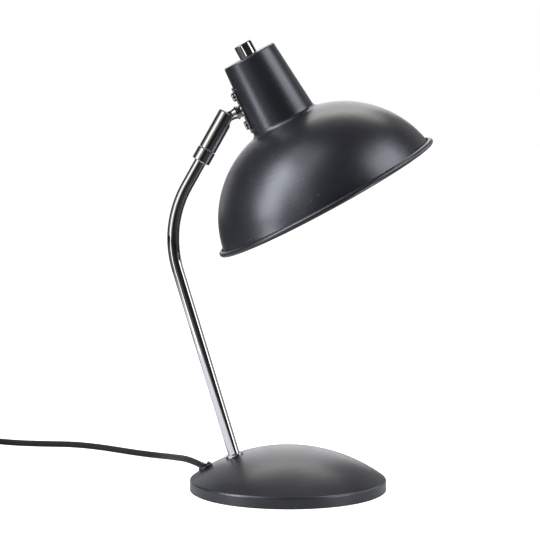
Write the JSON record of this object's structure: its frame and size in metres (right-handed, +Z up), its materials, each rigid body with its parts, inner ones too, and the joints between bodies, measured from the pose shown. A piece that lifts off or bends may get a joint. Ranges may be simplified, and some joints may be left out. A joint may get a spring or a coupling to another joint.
{
  "type": "table lamp",
  "caption": "Table lamp with a domed weighted base, a bent tube arm, a slotted ball joint and a spun shade with a turn switch on its neck, on a textile mains cord.",
  "frame": {"origin": "centre of the base's underside, on the surface that the lamp stands on", "axes": "+Z up, +X from the arm's foot towards the shade, +Y to the back as seen in the picture; the arm and the shade's axis lie in the XZ plane"},
  "size_m": [0.4917, 0.3228, 0.3753],
  "materials": {
    "black_paint": "satin black stoved paint on spun steel, the shade lacquered white inside",
    "chrome": "polished chrome plate",
    "zinc_steel": "zinc plated steel",
    "cast_iron": "raw casting",
    "pad_foam": "soft dark pad",
    "white_plastic": "moulded",
    "black_plastic": "moulded, slight gloss",
    "holder_plastic": "moulded white",
    "tie_plastic": "soft black strap",
    "nylon": "natural nylon",
    "cord_textile": "black braided textile sleeve",
    "lead_sheath": "smooth sheath",
    "brass": "plain brass",
    "nickel": "nickel plate",
    "ceramic": "glazed ceramic",
    "bulb_glass": "frosted opal glass"
  },
  "bodies": {
    "stand": {"base_cover": "black_paint", "base_weight": "cast_iron", "base_plate": "zinc_steel", "base_pad": "pad_foam", "base_stud": "zinc_steel", "base_nut": "zinc_steel", "terminal_block": "white_plastic", "terminal_screws": "brass", "cord_clamp": "white_plastic", "cord_clamp_screws": "zinc_steel", "cord_bushing": "black_plastic", "mains_cord_inside": "cord_textile", "arm_tube": "chrome", "arm_collar": "chrome", "arm_washer": "zinc_steel", "arm_nut": "zinc_steel", "arm_lead": "lead_sheath", "arm_end_collar": "zinc_steel", "sleeve_ring": "chrome", "mains_cord": "cord_textile", "mains_cord_coil": "cord_textile", "mains_cord_tail": "cord_textile", "cord_tie": "tie_plastic", "plug_body": "black_plastic", "plug_pins": "nickel"},
    "sleeve": {"joint_sleeve": "chrome", "friction_cup": "nylon", "disc_springs": "zinc_steel"},
    "stud": {"ball_stud": "chrome", "swivel_washer": "chrome", "spring_washer": "zinc_steel", "stud_nut": "zinc_steel"},
    "head": {"swivel_spacer": "chrome", "neck_plate": "chrome", "neck_plate_screws": "chrome", "shade": "black_paint", "lampholder_bracket": "zinc_steel", "lampholder_nipple": "zinc_steel", "nipple_nuts": "zinc_steel", "lampholder_cap": "holder_plastic", "lampholder_body": "holder_plastic", "lampholder_insulator": "ceramic", "screw_shell": "brass", "centre_contact": "brass", "bulb_contact": "nickel", "bulb_cap": "nickel", "bulb_glass": "bulb_glass", "switch_body": "black_plastic", "switch_nut": "zinc_steel", "head_lead": "lead_sheath", "holder_lead": "lead_sheath"},
    "knob": {"switch_knob": "chrome", "switch_spindle": "zinc_steel"}
  },
  "joints": [
    {"name": "sleeve_turn", "type": "hinge", "parent": "stand", "child": "sleeve", "pos_m": [-0.05245, 0, 0.31058], "axis": [0.4894, 0, 0.8721], "range_deg": [-170, 170]},
    {"name": "head_tilt", "type": "hinge", "parent": "sleeve", "child": "stud", "pos_m": [-0.05245, 0, 0.31058], "axis": [0, 1, 0], "range_deg": [-36, 12]},
    {"name": "head_swivel", "type": "hinge", "parent": "stud", "child": "head", "pos_m": [-0.05245, 0, 0.31058], "axis": [0.9114, 0, 0.4115], "range_deg": [-150, 150]},
    {"name": "switch_turn", "type": "hinge", "parent": "head", "child": "knob", "pos_m": [-0.03254, 0, 0.36229], "axis": [-0.4787, 0, 0.878], "continuous": true}
  ]
}
